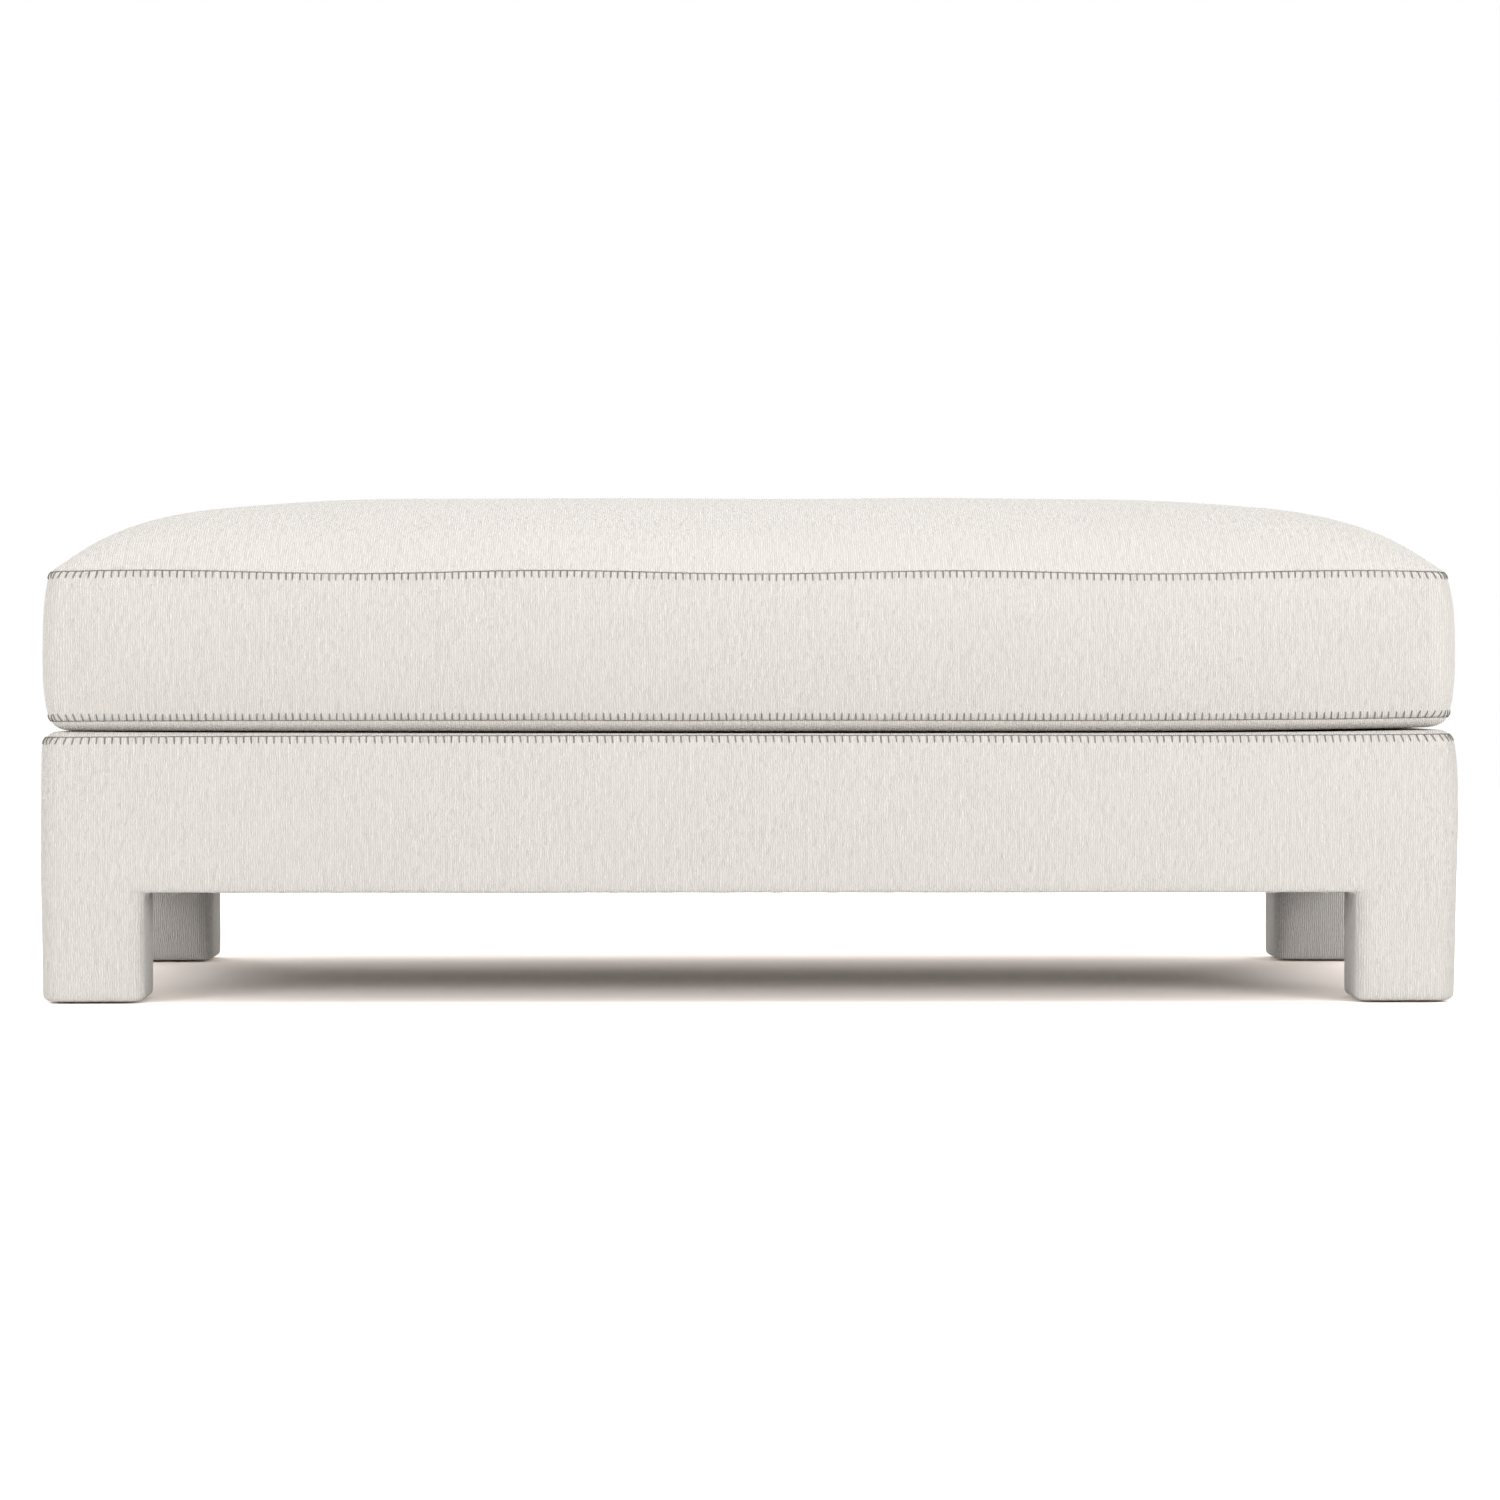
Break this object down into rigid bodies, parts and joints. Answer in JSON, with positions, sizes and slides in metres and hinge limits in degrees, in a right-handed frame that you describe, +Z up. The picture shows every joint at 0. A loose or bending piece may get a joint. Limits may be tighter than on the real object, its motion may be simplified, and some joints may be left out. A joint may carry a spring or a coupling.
{
  "type": "ottoman coffee table",
  "caption": "Low upholstered ottoman coffee table with a loose crowned box cushion, square wrapped legs and contrast blanket stitching along its seams.",
  "frame": {"origin": "on the floor under the middle of the table", "axes": "+X along the long side, +Y from the stitched front to the zipped back, +Z up"},
  "size_m": [1.42, 0.71, 0.5193],
  "materials": {
    "cover_cloth": "matte",
    "grey_thread": "matte",
    "deck_cloth": "matte",
    "dust_cloth": "matte",
    "felt": "matte",
    "pad_foam": "matte",
    "core_foam": "matte",
    "fibre": "matte",
    "frame_wood": "satin",
    "dowel_wood": "satin",
    "zinc_plated_steel": "satin",
    "spring_wire": "satin",
    "tie_wire": "matte",
    "glide_plastic": "matte",
    "zip_tape": "matte",
    "zip_coil": "satin",
    "nickel": "satin"
  },
  "bodies": {
    "table": {"front_left_post": "frame_wood", "front_left_corner_block": "frame_wood", "front_left_leg_pad": "pad_foam", "front_right_post": "frame_wood", "front_right_corner_block": "frame_wood", "front_right_leg_pad": "pad_foam", "back_left_post": "frame_wood", "back_left_corner_block": "frame_wood", "back_left_leg_pad": "pad_foam", "back_right_post": "frame_wood", "back_right_corner_block": "frame_wood", "back_right_leg_pad": "pad_foam", "front_rail": "frame_wood", "front_apron_pad": "pad_foam", "front_edge_roll": "pad_foam", "back_rail": "frame_wood", "back_apron_pad": "pad_foam", "back_edge_roll": "pad_foam", "left_rail": "frame_wood", "left_apron_pad": "pad_foam", "left_edge_roll": "pad_foam", "right_rail": "frame_wood", "right_apron_pad": "pad_foam", "right_edge_roll": "pad_foam", "left_cross_rail": "frame_wood", "right_cross_rail": "frame_wood", "rail_dowels": "dowel_wood", "hanger_bolts": "zinc_plated_steel", "hanger_bolt_washers": "zinc_plated_steel", "hanger_bolt_nuts": "zinc_plated_steel", "corner_block_screws": "zinc_plated_steel", "cross_rail_screws": "zinc_plated_steel", "clip_nails": "zinc_plated_steel", "spring_clips": "zinc_plated_steel", "sinuous_springs": "spring_wire", "spring_tie_wires": "tie_wire", "foot_glides": "glide_plastic", "insulator_felt": "felt", "deck_foam": "pad_foam", "dust_cover": "dust_cloth", "deck_cloth": "deck_cloth", "base_wrap": "cover_cloth", "base_back_panel": "cover_cloth", "base_lip_band": "cover_cloth", "base_edge_stitching": "grey_thread"},
    "cushion": {"cushion_top_panel": "cover_cloth", "cushion_boxing": "cover_cloth", "zip_boxing_upper": "cover_cloth", "zip_boxing_lower": "cover_cloth", "cushion_bottom_panel": "cover_cloth", "cushion_foam_core": "core_foam", "fibre_crown": "fibre", "fibre_underlay": "fibre", "cushion_top_stitching": "grey_thread", "cushion_bottom_stitching": "grey_thread", "zip_tapes": "zip_tape", "zip_chain": "zip_coil", "zip_stops": "nickel"},
    "zip_slider": {"zip_slider": "nickel"},
    "zip_pull": {"zip_pull": "nickel"}
  },
  "joints": [
    {"name": "cushion_lift", "type": "slide", "parent": "table", "child": "cushion", "axis": [0, 0, 1], "range_m": [0, 0.25]},
    {"name": "zip_slide", "type": "slide", "parent": "cushion", "child": "zip_slider", "axis": [-1, 0, 0], "range_m": [0, 1.24]},
    {"name": "zip_pull_swing", "type": "hinge", "parent": "zip_slider", "child": "zip_pull", "pos_m": [0.62, 0.3536, 0.3563], "axis": [0, 0, -1], "range_deg": [0, 170]}
  ]
}
